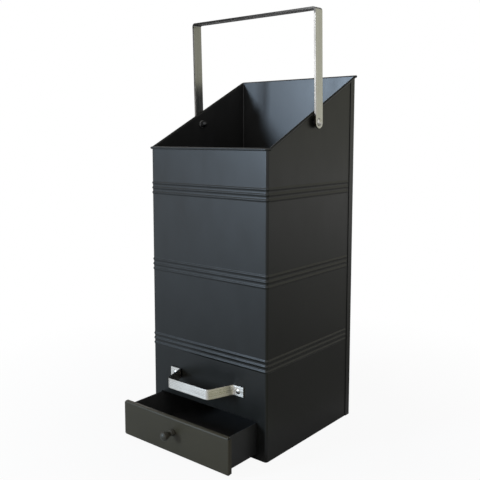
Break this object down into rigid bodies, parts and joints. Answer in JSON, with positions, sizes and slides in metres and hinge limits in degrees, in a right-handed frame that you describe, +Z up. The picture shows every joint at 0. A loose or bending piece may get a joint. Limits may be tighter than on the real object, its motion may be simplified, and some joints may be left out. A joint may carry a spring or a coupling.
{
  "type": "pellet bucket",
  "caption": "Square sheet-steel bucket for stove pellets with a sloping open top, a swinging bail, a fixed front handle and a dust drawer under a sieve.",
  "frame": {"origin": "middle of the underside of the bottom plate, where the bucket stands on the floor", "axes": "+Z up, -Y towards the front with the drawer and the fixed handle, X across the front"},
  "size_m": [0.249, 0.3289, 0.6528],
  "materials": {
    "black_coat": "satin black powder coat",
    "dark_coat": "satin black powder coat, inside",
    "drawer_coat": "satin black powder coat",
    "knob_coat": "semi-gloss black",
    "stainless": "brushed along the bar",
    "zinc": "zinc plated",
    "dark_zinc": "black zinc plated",
    "nylon": "matt black"
  },
  "bodies": {
    "bucket": {"body_wrap": "black_coat", "back_panel": "black_coat", "bottom_plate": "black_coat", "sieve_plate": "dark_coat", "front_ledge": "dark_coat", "back_ledge": "dark_coat", "left_ledge": "dark_coat", "right_ledge": "dark_coat", "left_runner": "dark_coat", "right_runner": "dark_coat", "front_handle": "stainless", "handle_rivets": "stainless", "handle_washers": "zinc", "pivot_bolts": "stainless", "pivot_spacers": "nylon", "pivot_washers": "zinc", "pivot_nuts": "dark_zinc"},
    "drawer": {"drawer_tray": "dark_coat", "drawer_front": "drawer_coat", "drawer_knob": "knob_coat", "knob_screw": "zinc", "knob_washer": "zinc"},
    "bail": {"bail": "stainless"}
  },
  "joints": [
    {"name": "bail_swing", "type": "hinge", "parent": "bucket", "child": "bail", "pos_m": [0, 0.002, 0.4865], "axis": [1, 0, 0], "range_deg": [-134.5, 129.2]},
    {"name": "drawer_slide", "type": "slide", "parent": "bucket", "child": "drawer", "axis": [0, -1, 0], "range_m": [-0.0665, 0.1065]}
  ]
}
